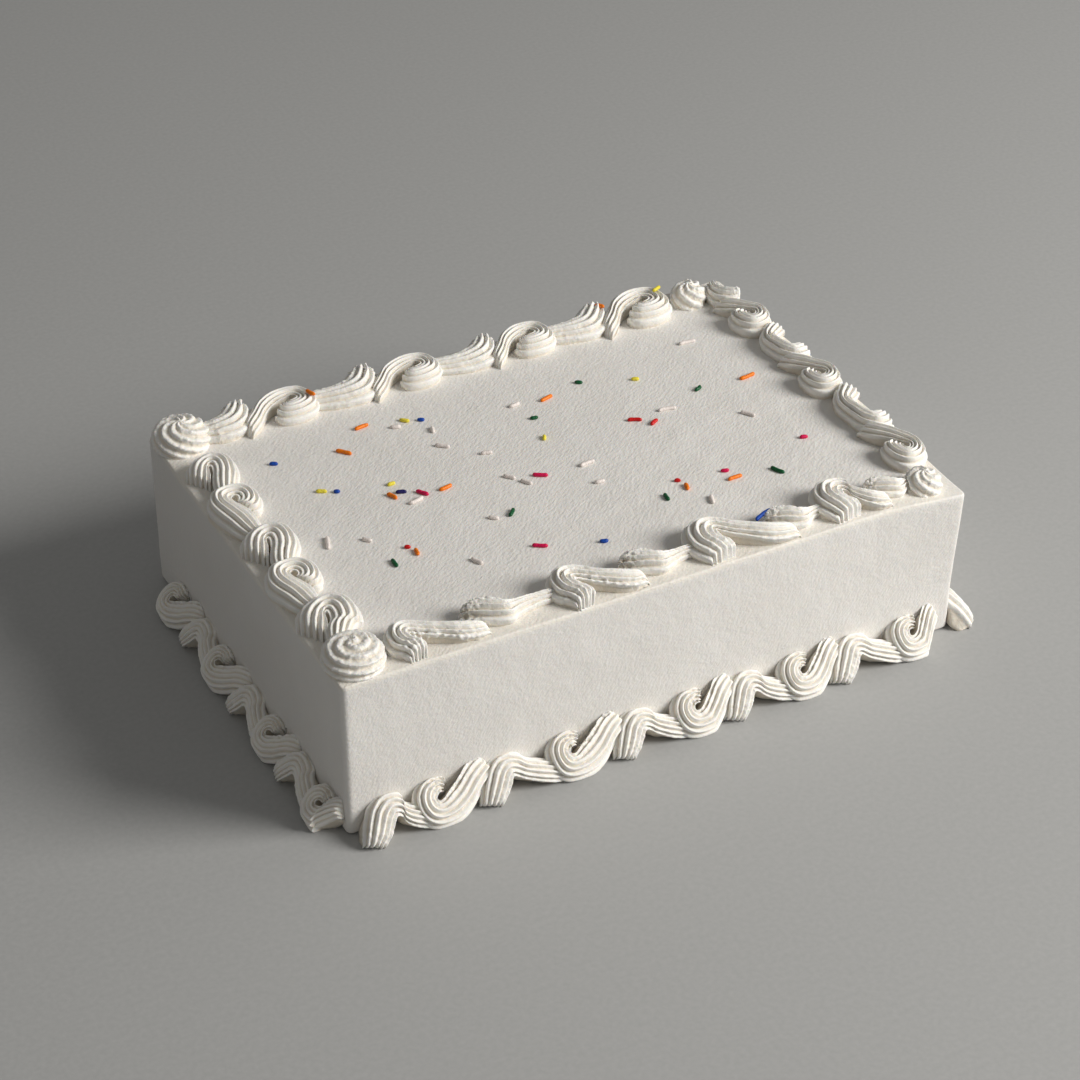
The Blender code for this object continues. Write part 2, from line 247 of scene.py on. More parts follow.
def remember(bench, shape, name, value):
    settings = {"data_type": "FLOAT", "domain": "POINT"}
    return bench.add(
        "GeometryNodeStoreNamedAttribute", settings, {"Geometry": shape, "Name": name, "Value": value}
    )


# %% [markdown]
# ## The icing's finish
# Buttercream is matt and nearly white, with a hint of cream. Light goes a little way into it,
# which softens the edges of the piping. The flat coat shows the strokes of the palette knife,
# and the piping shows fine grain. On the piping, painted shade makes the grooves darker and
# warmer, and a painted highlight makes the crests paler.

# %% Start a material
def start_finish(name):
    material = bpy.data.materials.new(name)
    material.use_nodes = True
    bench = Bench(material.node_tree)
    place = bench.add("ShaderNodeTexCoord", {}, {}, "Object")
    return material, bench, place


def end_finish(bench, **sockets):
    """Set or link the sockets of the surface's one shader."""
    inputs = {key.replace("_", " "): value for key, value in sockets.items()}
    shader = bench.add("ShaderNodeBsdfPrincipled", {}, inputs)
    bench.add("ShaderNodeOutputMaterial", {}, {"Surface": shader})


def clouds(bench, place, scale, detail=3.0):
    """Soft random values from 0 to 1. The scale is in lumps per metre."""
    return bench.add("ShaderNodeTexNoise", {}, {"Vector": place, "Scale": scale, "Detail": detail})


def streaks(bench, place, heading, across, along):
    """Random values drawn out in one direction, as a knife leaves them."""
    x, y, z = place.parts()
    turn = math.radians(heading)
    ahead = x * math.cos(turn) + y * math.sin(turn)
    aside = y * math.cos(turn) - x * math.sin(turn)
    return clouds(bench, bench.vector(ahead * along, aside * across, z * across), 1.0, 3.0)


def bump(bench, height, distance):
    return bench.add("ShaderNodeBump", {}, {"Height": height, "Distance": distance})


# %% The coat of icing
CAKE_LENGTH = 305 * MM
CAKE_WIDTH = 210 * MM
CAKE_HEIGHT = 79 * MM
# The heading of the knife's strokes in degrees, and their number per metre across and along
STROKES_ON_TOP = (36, 800, 320)
STROKES_ON_SIDES = (52, 800, 350)
# The creamier rim begins and is full at these distances from the edge
RIM_BEGINS, RIM_FULL = 14 * MM, 4 * MM
RIM_STRENGTH = 0.35
# The depth of the bump, in metres
ICING_RELIEF = 0.0003


def make_coat():
    """The knife ran slantwise over the top and up the sides. Outside the piping it is creamier."""
    material, bench, place = start_finish("icing_coat")
    x, y, z = place.parts()
    on_top = z.ramp(CAKE_HEIGHT - 2.5 * MM, CAKE_HEIGHT - 1.2 * MM)
    round_the_sides = bench.vector(x + y, z, 0.0)
    knife = streaks(bench, place, *STROKES_ON_TOP) * on_top
    knife = knife + streaks(bench, round_the_sides, *STROKES_ON_SIDES) * (1.0 - on_top)
    paper = clouds(bench, place, 800.0, 2.0)
    slow = clouds(bench, place, 90.0, 2.0)
    near_end = x.size().ramp(CAKE_LENGTH / 2 - RIM_BEGINS, CAKE_LENGTH / 2 - RIM_FULL)
    near_side = y.size().ramp(CAKE_WIDTH / 2 - RIM_BEGINS, CAKE_WIDTH / 2 - RIM_FULL)
    rim = near_end.most(near_side) * on_top
    tint = clouds(bench, place, 28.0)
    colour = bench.mix(tint, (0.74, 0.715, 0.68, 1), (0.80, 0.785, 0.755, 1))
    colour = bench.mix(rim * RIM_STRENGTH, colour, (0.86, 0.80, 0.68, 1))
    relief = knife + paper * 0.5 + slow * 1.5
    end_finish(
        bench,
        Base_Color=colour,
        Roughness=0.5 + 0.2 * tint,
        Normal=bump(bench, relief, ICING_RELIEF),
        Subsurface_Weight=0.12,
        Subsurface_Radius=(0.006, 0.004, 0.0025),
        Specular_IOR_Level=0.35,
    )
    return material


coat_finish = make_coat()

# %% The piped icing
def make_piping_finish():
    material, bench, place = start_finish("piped_icing")
    crest = bench.add("ShaderNodeAttribute", {"attribute_name": "crest"}, {}, "Fac")
    fleck = clouds(bench, place, 420.0, 3.0)
    # Painted shade and painted highlight: the grooves between the ridges are painted darker and warmer,
    # and the crests paler, with some random flecks mixed in
    high = (crest + fleck * 0.4).ramp(0.15, 0.75)
    colour = bench.mix(high, (0.76, 0.70, 0.60, 1), (0.86, 0.845, 0.805, 1))
    grain = clouds(bench, place, 1500.0, 3.0)
    end_finish(
        bench,
        Base_Color=colour,
        Roughness=0.42 + 0.2 * fleck,
        Normal=bump(bench, grain * 0.5 + fleck, ICING_RELIEF),
        Subsurface_Weight=0.18,
        Subsurface_Radius=(0.005, 0.0035, 0.002),
        Specular_IOR_Level=0.4,
    )
    return material


piping_finish = make_piping_finish()
print("finishes:", coat_finish.name, piping_finish.name)

# %% [markdown]
# ## The block
# The cake itself is a block of sponge under a coat of icing, spread smooth with a knife. Its
# corners are a little round, a thin lip stands along the top edge where the knife turned, and
# no face is quite flat. A cube with many cells is bent to this form: the outer rows of cells
# make the rounding, so that they stay even, and random values push the faces in and out.

# %% The block's sizes, and the sag of its front right corner
# The rounding along x, y and z in millimetres, and the rows of cells that make it
EDGE_ROUND = (3.0, 3.0, 2.0)
EDGE_ROWS = 4
RIGHT_FULLNESS = 1.0 * MM
CORNER_SWELL = 3.0 * MM
SWELL_REACH = 45 * MM
SWELL_START = 28 * MM
CORNER_DROOP = 2.0 * MM
DROOP_ALONG, DROOP_ACROSS = 36 * MM, 70 * MM
WAVE_DEPTH = 1.1 * MM
DENT_DEPTH = 0.35 * MM


def settle(bench, place):
    """Lower what is on top of the cake where its front right corner droops."""
    x, y, z = place.parts()
    near_end = x.ramp(CAKE_LENGTH / 2 - DROOP_ALONG, CAKE_LENGTH / 2)
    near_front = (0.0 - y).ramp(CAKE_WIDTH / 2 - DROOP_ACROSS, CAKE_WIDTH / 2)
    drop = near_end * near_front * CORNER_DROOP * (z / CAKE_HEIGHT)
    return bench.vector(x, y, z - drop)


def fuller(bench, place):
    """Push the block out where its right end and its front right corner are fuller."""
    x, y, z = place.parts()
    to_right = (x / (CAKE_LENGTH / 2)).most(0.0)
    near_end = ((x - (CAKE_LENGTH / 2 - SWELL_REACH)) / SWELL_REACH).most(0.0)
    near_front = ((0.0 - y - (CAKE_WIDTH / 2 - SWELL_REACH)) / SWELL_REACH).most(0.0)
    upper = (z - SWELL_START).most(0.0) / (CAKE_HEIGHT - SWELL_START)
    swell = near_end * near_front * upper * CORNER_SWELL
    return bench.vector(x + to_right * RIGHT_FULLNESS, y - swell, z)


# %% Round the edges of a cube with many cells
def rounded_place(bench, half, counts):
    """Where each point of a cube of size 2 goes, and its nearness to an upper edge, 0 to 1."""
    raw = bench.add("GeometryNodeInputPosition", {}, {})
    flat_part = Vector([1 - 2 * EDGE_ROWS / (count - 1) for count in counts])
    edge_part = Vector((1, 1, 1)) - flat_part
    rounding = Vector(EDGE_ROUND) * MM
    reach = raw.size()
    flat = reach.least(flat_part) / flat_part * (half - rounding)
    round_part = (reach - flat_part).most(0.0) / edge_part
    x, y, z = round_part.parts()
    widest = x.most(y).most(z)
    round_part = round_part * (widest / round_part.length().most(0.0001))
    near_edge = (x.most(y) * z).ramp(0.25, 0.9)
    return raw.sign() * (flat + round_part * rounding), near_edge


# %% The block's recipe
def block_recipe():
    sizes = {"Length": CAKE_LENGTH, "Width": CAKE_WIDTH, "Height": CAKE_HEIGHT, "Lip": 0.55 * MM}
    bench, given = start_recipe("iced_block", sizes)
    counts = {"Vertices X": 170, "Vertices Y": 120, "Vertices Z": 46}
    shape = bench.add("GeometryNodeMeshCube", {}, {"Size": 2.0, **counts})
    half = bench.vector(given["Length"] * 0.5, given["Width"] * 0.5, given["Height"] * 0.5)
    place, near_edge = rounded_place(bench, half, counts.values())
    upright = bench.vector(0.0, 0.0, given["Height"] * 0.5)
    place = settle(bench, fuller(bench, place + upright))
    shape = remember(bench, shape, "lip", near_edge)
    shape = bench.add("GeometryNodeSetPosition", {}, {"Geometry": shape, "Position": place})
    here = bench.add("GeometryNodeInputPosition", {}, {})
    outwards = bench.add("GeometryNodeInputNormal", {}, {})
    waves = clouds(bench, here, 16.0, 1.0) - 0.5
    dents = clouds(bench, here, 70.0, 2.0) - 0.5
    edge = fact(bench, "lip") * given["Lip"] * (clouds(bench, here, 60.0, 2.0) * 1.6)
    above_foot = here.parts()[2].ramp(0.0, 4 * MM)
    push = (waves * WAVE_DEPTH + dents * DENT_DEPTH + edge) * above_foot
    shape = bench.add("GeometryNodeSetPosition", {}, {"Geometry": shape, "Offset": outwards * push})
    return end_recipe(bench, given, shape)


block = run_recipe("cake_block", block_recipe(), bpy.data.meshes.new("nothing"), Material=coat_finish)
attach(block, "root")
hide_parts("iced_cake")

# %% [markdown]
# ## The scrolls of the border
# The border is piped through a star nozzle in one long row of scrolls, called reverse shells:
# each stroke starts with a curl to one side, sweeps round, and ends in a tail that the next
# curl covers. The nozzle's teeth leave ridges that follow every turn of the rope.
#
# No two strokes of a hand are the same, so there are a few kinds of scroll. Each kind is
# described by nine cross-sections. One is a line from the rope's inner edge, by the pit of the
# curl, to its outer edge, with the height of its middle and of its inner edge. A flat grid is
# bent over those lines: one of its directions runs along the rope, and the other over its
# section. A Float Curve node holds each column of the table, so the rope is smooth from one
# cross-section to the next.

# %% The kinds of scroll, in millimetres along and across the run about the pit of the curl
# The first six rows are the curl. The last three are the tail, where "along" is a share of
# the way to the next curl. Across is counted towards the side that the curl turns to.
CURL_ROWS = 6
KINDS = {
    # A full turn that starts as a wide fan
    "hook": [
        ((11.0, 3.2), (-1.5, 11.2), 5.5, 3.5),
        ((7.0, 1.2), (-8.0, 8.8), 9.0, 6.8),
        ((2.4, 0.4), (-12.0, 1.0), 10.3, 8.0),
        ((0.8, 0.0), (-11.8, -8.0), 10.9, 8.0),
        ((1.3, -0.6), (-4.5, -13.8), 11.0, 7.5),
        ((4.0, 0.0), (6.0, -13.4), 10.0, 6.0),
        ((0.46, 3.4), (0.52, -9.8), 8.8, 4.0),
        ((0.78, 5.0), (0.78, -5.5), 7.2, 1.0),
        ((1.00, 6.2), (1.00, -1.5), 4.5, 0.0),
    ],
    # A round curl, wound up further
    "swirl": [
        ((2.0, 0.4), (7.5, 2.8), 8.8, 7.8),
        ((1.6, 1.0), (8.5, 9.0), 9.5, 8.2),
        ((0.4, 1.2), (-2.0, 12.4), 10.3, 8.4),
        ((-0.4, 0.5), (-10.6, 6.0), 10.8, 8.4),
        ((0.0, -0.5), (-10.6, -5.8), 11.0, 8.2),
        ((1.6, -0.6), (-2.0, -12.2), 10.8, 7.8),
        ((0.42, 4.0), (0.50, -9.8), 9.0, 6.0),
        ((0.78, 4.6), (0.78, -5.8), 7.2, 1.0),
        ((1.00, 6.2), (1.00, -1.5), 4.5, 0.0),
    ],
    # A narrow, torn bend with a thick tail
    "bend": [
        ((5.0, 10.8), (-3.0, 11.8), 6.5, 4.5),
        ((6.5, 7.5), (-6.5, 7.5), 9.0, 6.0),
        ((4.0, 3.5), (-10.5, 1.0), 10.0, 7.0),
        ((2.0, 1.5), (-9.0, -7.5), 10.9, 7.5),
        ((2.0, 0.5), (-1.0, -12.7), 11.0, 7.5),
        ((4.5, 1.5), (8.0, -10.5), 10.2, 6.5),
        ((0.42, 6.2), (0.46, -6.0), 9.3, 4.5),
        ((0.76, 11.5), (0.76, -2.0), 8.3, 2.0),
        ((1.12, 9.5), (1.12, 2.0), 5.5, 0.5),
    ],
    # The same with a broad start and a longer tail
    "fan": [
        ((8.0, 9.5), (-4.5, 11.0), 6.5, 4.5),
        ((8.0, 6.0), (-9.0, 6.5), 9.3, 6.5),
        ((5.5, 2.5), (-12.0, -1.5), 10.5, 7.5),
        ((4.5, 0.0), (-9.5, -10.0), 11.2, 8.0),
        ((4.8, -1.5), (-1.5, -15.0), 11.4, 8.0),
        ((6.5, -0.5), (9.0, -13.0), 10.6, 7.0),
        ((0.44, 5.5), (0.50, -7.5), 9.5, 5.0),
        ((0.82, 12.0), (0.82, -2.0), 8.3, 2.0),
        ((1.22, 10.5), (1.22, 2.5), 5.5, 0.5),
    ],
    # A long shell, torn on the side of its curl
    "shell": [
        ((-7.0, 8.5), (-11.0, 5.0), 5.5, 4.0),
        ((-3.0, 9.5), (-8.0, 0.5), 8.8, 6.0),
        ((2.0, 8.8), (-2.0, -3.8), 10.0, 7.0),
        ((6.0, 6.8), (4.0, -7.3), 10.3, 6.5),
        ((9.0, 4.5), (9.0, -7.9), 9.8, 4.5),
        ((12.0, 3.2), (13.0, -5.6), 8.8, 3.0),
        ((0.60, 3.0), (0.62, -2.8), 7.5, 1.5),
        ((0.80, 3.0), (0.80, -2.0), 7.0, 0.5),
        ((1.00, 3.5), (1.00, -1.0), 5.0, 0.0),
    ],
    # A tall torn start, from which the ridges fall away
    "crown": [
        ((-3.0, 8.0), (-9.0, 3.5), 12.3, 6.0),
        ((0.0, 7.0), (-10.0, -0.5), 12.8, 6.5),
        ((2.5, 5.5), (-8.8, -5.5), 12.4, 6.5),
        ((4.5, 4.0), (-5.0, -9.8), 11.6, 6.0),
        ((6.5, 3.5), (0.5, -11.8), 10.6, 5.5),
        ((9.0, 3.5), (7.0, -11.5), 9.7, 4.5),
        ((0.50, 4.0), (0.54, -9.5), 8.6, 3.0),
        ((0.78, 5.5), (0.78, -6.0), 7.2, 1.0),
        ((1.00, 6.5), (1.00, -1.5), 4.5, 0.0),
    ],
    # A flat curl whose tail turns sharply to its side
    "wave": [
        ((3.0, 7.0), (-8.0, 9.0), 8.0, 5.0),
        ((2.5, 4.5), (-11.5, 5.0), 9.5, 6.0),
        ((2.0, 2.5), (-12.0, -1.5), 10.0, 6.5),
        ((2.5, 1.5), (-8.0, -6.5), 10.3, 6.5),
        ((4.0, 1.0), (-2.0, -9.5), 10.2, 5.5),
        ((7.0, 1.0), (6.0, -10.5), 9.8, 4.0),
        ((0.42, 1.5), (0.52, -9.5), 9.2, 3.5),
        ((0.50, 6.5), (0.80, -1.5), 8.8, 3.0),
        ((0.62, 11.0), (0.94, 5.5), 7.0, 1.5),
    ],
    # The curl of the foot, torn where it starts on the wall, with a tail that climbs the wall
    "climb": [
        ((3.8, 2.8), (9.0, 8.8), 9.4, 8.6),
        ((1.8, 3.0), (0.0, 12.4), 10.4, 8.8),
        ((0.2, 2.0), (-9.8, 7.0), 10.6, 8.8),
        ((0.4, 0.8), (-11.2, -3.5), 10.9, 8.8),
        ((1.8, 0.8), (-5.5, -11.2), 11.0, 8.8),
        ((4.0, 2.5), (5.0, -12.4), 10.8, 8.8),
        ((0.38, 7.5), (0.50, -9.0), 10.4, 8.0),
        ((0.64, 13.0), (0.80, -1.5), 10.0, 7.0),
        ((0.90, 15.0), (1.08, 4.0), 8.5, 4.0),
    ],
    # An arch of the foot, that starts on the floor behind its curl
    "arch": [
        ((-6.0, 12.6), (-14.5, 9.0), 5.5, 4.0),
        ((-1.5, 8.5), (-13.5, 3.5), 8.6, 6.0),
        ((1.8, 4.2), (-11.2, -2.5), 10.0, 7.0),
        ((3.2, 1.8), (-6.8, -8.8), 10.8, 7.5),
        ((4.2, 1.0), (0.0, -12.6), 11.0, 7.5),
        ((6.0, 1.8), (8.0, -11.0), 10.3, 6.5),
        ((0.42, 5.5), (0.46, -6.5), 9.3, 4.5),
        ((0.75, 9.5), (0.75, -3.0), 8.3, 2.5),
        ((1.10, 10.5), (1.10, 2.0), 5.5, 1.0),
    ],
    # A round curl whose tail runs along its own side
    "sweep": [
        ((1.0, 0.6), (9.0, 4.0), 9.0, 8.2),
        ((0.4, 1.6), (6.5, 11.8), 9.6, 8.8),
        ((-1.2, 1.8), (-5.5, 12.6), 10.2, 9.0),
        ((-2.0, 1.2), (-12.2, 5.0), 10.6, 9.0),
        ((-1.4, 0.2), (-9.2, -6.0), 10.8, 9.0),
        ((0.6, -0.6), (0.2, -9.8), 10.6, 9.0),
        ((0.42, 5.5), (0.46, -7.5), 9.8, 5.0),
        ((0.74, 11.0), (0.80, -3.5), 8.8, 2.0),
        ((1.00, 12.5), (1.04, 2.0), 6.5, 0.5),
    ],
    # The same with a tail that crosses over to its side
    "cross": [
        ((1.0, 0.6), (9.5, 2.5), 9.0, 8.2),
        ((0.6, 1.6), (8.5, 10.5), 9.6, 8.8),
        ((-1.0, 1.8), (-3.5, 12.6), 10.2, 9.0),
        ((-2.0, 1.2), (-11.8, 6.0), 10.6, 9.0),
        ((-1.4, 0.2), (-9.4, -6.0), 10.8, 9.0),
        ((0.6, -0.6), (0.5, -9.8), 10.8, 9.0),
        ((0.46, 3.0), (0.50, -7.5), 10.2, 5.5),
        ((0.74, 10.5), (0.82, 0.0), 9.0, 2.0),
        ((0.96, 13.5), (1.04, 5.5), 6.5, 0.5),
    ],
}
# Where each cross-section comes along the rope, from its start to its end
STATIONS = (0.0, 0.095, 0.215, 0.325, 0.425, 0.525, 0.72, 0.87, 1.0)
# A curve only stays smooth where its values change by less than its length, which is 1, so
# the sizes are divided by this span and multiplied again after the curve
SPAN = 100.0
# The whole way to the next curl stands in the table as this many millimetres
WHOLE_WAY = 20.0
ROWS_ALONG, ROWS_ACROSS = 120, 80
# The shares of the rope that one row of the grid and its two rounded ends take
END_ROW = 1.0 / (ROWS_ALONG - 1)
ROUND_START, ROUND_FINISH = 0.02, 0.04
# The share of the section's rows that goes over the rope. The rest comes back under it
OVER_SHARE = 0.88


def columns(kind):
    """One row of points for each thing that changes along the rope."""
    table = []
    for number, (inner, outer, high, low) in enumerate(KINDS[kind]):
        in_tail = number >= CURL_ROWS
        row = []
        for along, across in (inner, outer):
            row += [0.0, along * WHOLE_WAY, across] if in_tail else [along, 0.0, across]
        table.append([*row, high, low])
    return [[(at, value / SPAN) for at, value in zip(STATIONS, column)] for column in zip(*table)]


print("kinds of scroll:", ", ".join(KINDS))


# %% The rope's section, with its ridges
def rope_section(bench, given, along, across, high, low):
    """Share of the way from inner to outer edge, height, and crest, over the rope's section."""
    over = (across / OVER_SHARE).least(1.0)
    under = ((across - OVER_SHARE) / (1.0 - OVER_SHARE)).most(0.0)
    wander = clouds(bench, bench.vector(along * 3.0, 0.0, fact(bench, "seed")), 1.0, 1.0) - 0.5
    phase = (over + wander * 0.10) * given["Crests"]
    crest = (0.5 - 0.5 * (phase * (2 * math.pi)).cosine()) ** 0.8
    uneven = clouds(bench, bench.vector(along * 5.0, phase * 0.8, fact(bench, "seed")), 1.0, 1.0)
    trim = 1.0 - given["Groove"] * (0.4 + 1.2 * uneven) * (1.0 - crest)
    turn = over * math.pi
    share = 0.5 - (0.3 * turn.cosine() + 0.2 * (1.0 - 2.0 * over)) * trim
    bulge = (turn.sine().most(0.0) ** 0.62) * trim
    foot = low * (1.0 - share) * (1.0 - share)
    height = foot + (high - foot) * bulge
    # Under the rope the section goes down, back to the inner edge, and up again
    share = share + (1.0 - 2.0 * share) * ((under - 0.3) / 0.4).most(0.0).least(1.0)
    down = (under / 0.3).least(1.0)
    up = ((under - 0.7) / 0.3).most(0.0)
    height = height * (1.0 - down) - given["Backing"] * (down - up) + low * up
    return share, height, crest


def rope_lines(bench, kinds, along):
    """The eight columns of each scroll's own kind, read at a place along the rope."""
    values = [0.0] * 8
    for number, kind in enumerate(kinds):
        chosen = (1.0 - (fact(bench, "kind") - float(number)).size()).most(0.0) * SPAN
        for place, points in enumerate(columns(kind)):
            curve = bench.add("ShaderNodeFloatCurve", {"points": points}, {"Value": along})
            values[place] = values[place] + curve * chosen
    return values


def rope_point(bench, given, along, across, kinds):
    """A point of one scroll: along the run, across it, and up, in millimetres."""
    ragged = (1.0 - along.ramp(0.0, 0.15)) * given["Teeth"]
    over = (across / OVER_SHARE).least(1.0)
    tooth = 0.5 - 0.5 * (over * given["Crests"] * (2 * math.pi)).cosine()
    values = rope_lines(bench, kinds, along + (1.0 - tooth) * ragged)
    inner_u, inner_reach, inner_v, outer_u, outer_reach, outer_v, high, low = values
    size_u, size_v, size_w = fact(bench, "size", "FLOAT_VECTOR").parts()
    reach = fact(bench, "reach") / WHOLE_WAY
    inner_u = inner_u * size_u + inner_reach * reach
    outer_u = outer_u * size_u + outer_reach * reach
    share, height, crest = rope_section(bench, given, along, across, high, low)
    # Both ends are rounded down to the foot, and only the outermost row shrinks to one point
    start = ((along - END_ROW) / ROUND_START).most(0.0).least(1.0)
    finish = ((1.0 - END_ROW - along) / ROUND_FINISH).most(0.0).least(1.0)
    for full in (start, finish):
        height = height * (1.0 - (1.0 - full) ** 2.0).root()
    end_cap = (along.least(1.0 - along) / (END_ROW / 2)).least(1.0)
    share = 0.5 + (share - 0.5) * end_cap
    u = inner_u + (outer_u - inner_u) * share
    v = (inner_v + (outer_v - inner_v) * share) * size_v * fact(bench, "turn")
    return u, v, height * size_w, crest


# %% Start a piped shape
def grid_of_icing(bench, rows_along, rows_across):
    """A flat grid that remembers how far along and across it each point is, from 0 to 1."""
    counts = {"Vertices X": rows_along, "Vertices Y": rows_across}
    grid = bench.add("GeometryNodeMeshGrid", {}, {"Size X": 1.0, "Size Y": 1.0, **counts})
    x, y, z = bench.add("GeometryNodeInputPosition", {}, {}).parts()
    grid = remember(bench, grid, "along", x + 0.5)
    return remember(bench, grid, "across", y + 0.5)


def set_on_points(bench, given, piece):
    """One copy of a piece for each point, which takes over the point's facts."""
    places = {"Points": given["Geometry"], "Instance": piece}
    shape = bench.add("GeometryNodeInstanceOnPoints", {}, places)
    return bench.add("GeometryNodeRealizeInstances", {}, {0: shape})


# %% Close the piped shape, and make it grainy and torn
WELD = 0.02 * MM
LUMP_DEPTH = 0.55 * MM
# No piping comes nearer than this to what the cake stands on
LOWEST = 0.05 * MM


def end_piping(bench, given, shape, place):
    """Bend the grid to its place, weld its seams, and push the icing in and out at random."""
    shape = bench.add("GeometryNodeSetPosition", {}, {"Geometry": shape, "Position": place})
    shape = bench.add("GeometryNodeMergeByDistance", {}, {"Geometry": shape, "Distance": WELD})
    here = bench.add("GeometryNodeInputPosition", {}, {})
    outwards = bench.add("GeometryNodeInputNormal", {}, {})
    grain = clouds(bench, here, 900.0, 2.0) - 0.5
    lumps = clouds(bench, here, 210.0, 3.0) - 0.5
    tears = (clouds(bench, here, 480.0, 4.0) - 0.45).most(0.0) * fact(bench, "torn")
    push = grain * given["Grain"] + lumps * LUMP_DEPTH + tears * given["Tear"] * 3.0
    x, y, z = (here + outwards * push).parts()
    rough = bench.vector(x, y, z.most(LOWEST))
    shape = bench.add("GeometryNodeSetPosition", {}, {"Geometry": shape, "Position": rough})
    return end_recipe(bench, given, shape)


# %% The recipe for a run of scrolls
COVE_DEPTH = 6.0 * MM
COVE_RISE = 1.5 * MM


def scroll_recipe(name, in_cove, kinds):
    """Scrolls on the cake's top, or in the cove between its side and what it stands on."""
    sizes = {
        "Crests": 6.0,
        "Groove": 0.2,
        "Teeth": 0.025,
        "Backing": 0.0,
        "Grain": 0.16 * MM,
        "Tear": 1.0 * MM,
    }
    bench, given = start_recipe(name, sizes)
    grid = grid_of_icing(bench, ROWS_ALONG, ROWS_ACROSS)
    shape = set_on_points(bench, given, grid)
    along, across = fact(bench, "along"), fact(bench, "across")
    u, v, w, crest = rope_point(bench, given, along, across, kinds)
    if in_cove:
        depth = COVE_DEPTH / MM
        rise = COVE_RISE / MM
        out = ((w + v + (depth - rise)) / math.sqrt(2)).most(0.0)
        up = ((w - v + (depth + rise)) / math.sqrt(2)).most(0.0)
    else:
        out, up = v, w
    forward = fact(bench, "forward", "FLOAT_VECTOR")
    outward = fact(bench, "outward", "FLOAT_VECTOR")
    step = forward * u + outward * out + bench.vector(0.0, 0.0, up)
    place = fact(bench, "pit", "FLOAT_VECTOR") + step * MM
    shape = remember(bench, shape, "crest", crest)
    at_start = 1.0 - along.ramp(0.02, 0.25)
    by_pit = 1.0 - across.ramp(0.05, 0.40)
    where_torn = (at_start + by_pit * 0.8 + 0.15).least(1.0)
    shape = remember(bench, shape, "torn", fact(bench, "torn") * where_torn)
    if not in_cove:
        place = settle(bench, place)
    return end_piping(bench, given, shape, place)


# %% Where the scrolls go: the sides of the cake, and the points of a run
# How far a tail stays short of the next pit, and how deep the piping sinks into the coat
TAIL_TUCK = 4.0 * MM
SINK = 0.4 * MM
# A side's direction of piping, its outward direction, and the half width up to its edge
SIDES = {
    "left": (Vector((0, -1, 0)), Vector((-1, 0, 0)), CAKE_LENGTH / 2),
    "front": (Vector((1, 0, 0)), Vector((0, -1, 0)), CAKE_WIDTH / 2),
    "right": (Vector((0, 1, 0)), Vector((1, 0, 0)), CAKE_LENGTH / 2 + RIGHT_FULLNESS),
    "back": (Vector((-1, 0, 0)), Vector((0, 1, 0)), CAKE_WIDTH / 2),
}


def kinds_in(scrolls):
    return sorted({kind for _, kind, _, _ in scrolls})


def scroll_points(name, side, level, inset, first_turns_out, last_reach, size, scrolls):
    """One point for each scroll, with its direction, kind, size and state."""
    forward, outward, half = SIDES[side]
    sign = forward.x + forward.y
    draw = random.Random(name)
    kinds = kinds_in(scrolls)
    places = [place * MM * sign for place, *_ in scrolls]
    facts = {
        "pit": [forward * place + outward * (half - inset) + Vector((0, 0, level)) for place in places],
        "forward": [forward] * len(scrolls),
        "outward": [outward] * len(scrolls),
        "turn": [1.0 if (i % 2 == 0) == first_turns_out else -1.0 for i in range(len(scrolls))],
        "reach": [(b - a - TAIL_TUCK) / MM for a, b in zip(places, places[1:])] + [last_reach],
        "kind": [float(kinds.index(kind)) for _, kind, _, _ in scrolls],
        "size": [Vector(size) * grown * draw.uniform(0.98, 1.02) for _, _, grown, _ in scrolls],
        "torn": [torn for *_, torn in scrolls],
        "seed": [draw.uniform(0, 50) for _ in scrolls],
    }
    return points_mesh(name, len(scrolls), facts)


# %% Pipe the top border
# For each side: inset, whether the first curl turns outwards, how far the last tail runs, the
# size along, across and up, and for each scroll its place, kind, share of that size and how
# torn it is. Curls turn outwards and inwards in turn.
TOP_RUNS = {
    "left": (11.5, True, 18, (1, 1.05, 1), [
        (59, "hook", 0.92, 0.1), (30, "swirl", 0.98, 0.1), (-5, "hook", 1.0, 0.15),
        (-33, "swirl", 1.0, 0.1), (-65, "hook", 1.08, 0.15),
    ]),
    "front": (12, True, 20, (1, 1, 1), [
        (-117, "bend", 0.92, 0.5), (-81, "shell", 1.0, 0.9), (-40, "bend", 1.0, 0.4),
        (-6, "shell", 0.98, 0.9), (28, "fan", 1.0, 0.2), (66, "shell", 0.88, 0.6),
        (93, "fan", 0.96, 0.2), (117, "shell", 0.82, 0.6),
    ]),
    "right": (9.0, False, 18, (1, 0.9, 1), [
        (-73, "sweep", 1.0, 0.2), (-44, "wave", 1.0, 0.2), (-4, "sweep", 1.0, 0.3),
        (24, "wave", 0.95, 0.2), (58, "sweep", 1.0, 0.3), (82, "crown", 0.85, 0.5),
    ]),
    "back": (12, False, 22, (1.05, 1, 1), [
        (102, "cross", 1.1, 0.3), (72, "crown", 1.0, 0.6), (39, "cross", 1.0, 0.1),
        (12, "crown", 0.9, 0.5), (-22, "cross", 1.0, 0.1), (-52, "crown", 1.0, 0.7),
        (-86, "cross", 1.0, 0.1), (-116, "crown", 0.95, 0.8),
    ]),
}
